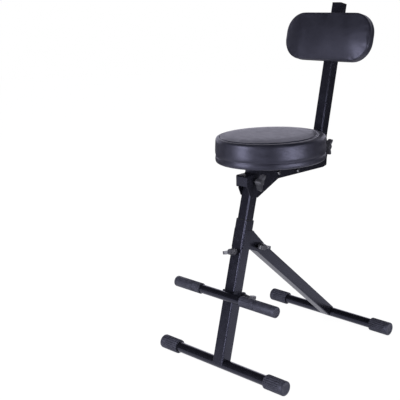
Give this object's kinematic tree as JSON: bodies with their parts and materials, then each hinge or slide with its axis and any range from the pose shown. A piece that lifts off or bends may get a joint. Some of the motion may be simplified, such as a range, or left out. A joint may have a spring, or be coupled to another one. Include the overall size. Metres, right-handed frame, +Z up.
{
  "type": "folding stool",
  "caption": "Folding performer's stool with an oval padded seat, padded backrest, sliding footrest, height clamp and a folding rear leg.",
  "frame": {"origin": "on the floor, in the middle of the stool's box", "axes": "+Z up, -Y the way the sitter faces, +X the sitter's left"},
  "size_m": [0.4806, 0.5966, 1.03],
  "materials": {
    "satin_steel": "satin powder coat",
    "gloss_steel": "semi-gloss powder coat",
    "zinc": "bright zinc plate",
    "black_plastic": "moulded",
    "black_rubber": "matt, ribbed",
    "black_vinyl": "vinyl-coated cloth over foam",
    "plywood": "black stain"
  },
  "bodies": {
    "frame": {"outer_tube": "satin_steel", "tube_bush": "black_plastic", "height_nut": "satin_steel", "front_foot_bar": "gloss_steel", "front_foot_cap_left": "black_rubber", "front_foot_cap_right": "black_rubber", "leg_bracket": "satin_steel", "leg_pivot_bolt": "zinc"},
    "rear_leg": {"rear_leg_tube": "satin_steel", "rear_foot_bar": "gloss_steel", "rear_foot_cap_left": "black_rubber", "rear_foot_cap_right": "black_rubber"},
    "footrest": {"footrest_clip": "satin_steel", "footrest_bar": "gloss_steel", "footrest_grip_left": "black_rubber", "footrest_grip_right": "black_rubber", "footrest_bolt": "zinc"},
    "seat_post": {"inner_tube": "satin_steel", "support_plate_left": "satin_steel", "support_plate_right": "satin_steel", "seat_spacer": "zinc", "seat_lock_bolt": "zinc"},
    "seat": {"seat_channel": "satin_steel", "seat_board": "plywood", "seat_cushion": "black_vinyl", "seat_screw_1": "zinc", "seat_screw_2": "zinc", "seat_screw_3": "zinc", "seat_screw_4": "zinc", "seat_pivot_bolt": "zinc", "seat_pivot_nut": "zinc", "channel_tie_bolt": "zinc", "channel_tie_nut": "zinc", "backrest_pivot_bolt": "zinc", "backrest_pivot_nut": "zinc", "backrest_washer_left": "zinc", "backrest_washer_right": "zinc"},
    "backrest": {"backrest_post": "satin_steel", "post_plug": "black_plastic", "back_board": "plywood", "back_pad": "black_vinyl", "pad_screw_lower": "zinc", "pad_screw_upper": "zinc", "backrest_spacer_left": "black_plastic", "backrest_spacer_right": "black_plastic", "backrest_lock_bolt": "zinc"},
    "height_screw": {"height_knob": "black_plastic", "height_screw": "zinc"},
    "leg_knob": {"leg_knob": "black_plastic"},
    "footrest_knob": {"footrest_knob": "black_plastic"},
    "seat_knob": {"seat_knob": "black_plastic"},
    "backrest_knob": {"backrest_knob": "black_plastic"}
  },
  "joints": [
    {"name": "leg_fold", "type": "hinge", "parent": "frame", "child": "rear_leg", "pos_m": [0, -0.12497, 0.34359], "axis": [1, 0, 0], "range_deg": [-68, 0]},
    {"name": "height_slide", "type": "slide", "parent": "frame", "child": "seat_post", "axis": [0, 0.2624, 0.965], "range_m": [-0.065, 0.12]},
    {"name": "seat_fold", "type": "hinge", "parent": "seat_post", "child": "seat", "pos_m": [0, -0.04112, 0.54909], "axis": [1, 0, 0], "range_deg": [-100, 0]},
    {"name": "backrest_fold", "type": "hinge", "parent": "seat", "child": "backrest", "pos_m": [0, 0.17128, 0.55869], "axis": [1, 0, 0], "range_deg": [-81.7, 0]},
    {"name": "footrest_slide", "type": "slide", "parent": "frame", "child": "footrest", "axis": [0, 0.2624, 0.965], "range_m": [-0.06, 0.08]},
    {"name": "height_screw_turn", "type": "hinge", "parent": "frame", "child": "height_screw", "pos_m": [0, -0.21554, 0.34438], "axis": [0, -0.965, 0.2624], "range_deg": [0, 360]},
    {"name": "leg_knob_turn", "type": "hinge", "parent": "frame", "child": "leg_knob", "pos_m": [0.03, -0.12497, 0.34359], "axis": [1, 0, 0], "range_deg": [0, 360]},
    {"name": "footrest_knob_turn", "type": "hinge", "parent": "footrest", "child": "footrest_knob", "pos_m": [0.03, -0.20174, 0.20798], "axis": [1, 0, 0], "range_deg": [0, 360]},
    {"name": "seat_knob_turn", "type": "hinge", "parent": "seat_post", "child": "seat_knob", "pos_m": [0.03, -0.14353, 0.54025], "axis": [1, 0, 0], "range_deg": [0, 360]},
    {"name": "backrest_knob_turn", "type": "hinge", "parent": "backrest", "child": "backrest_knob", "pos_m": [0.03, 0.18013, 0.59616], "axis": [1, 0, 0], "range_deg": [0, 360]}
  ],
  "couplings": [
    {"joint": "seat_fold", "follows": "leg_fold", "ratio": 1.4705}
  ]
}
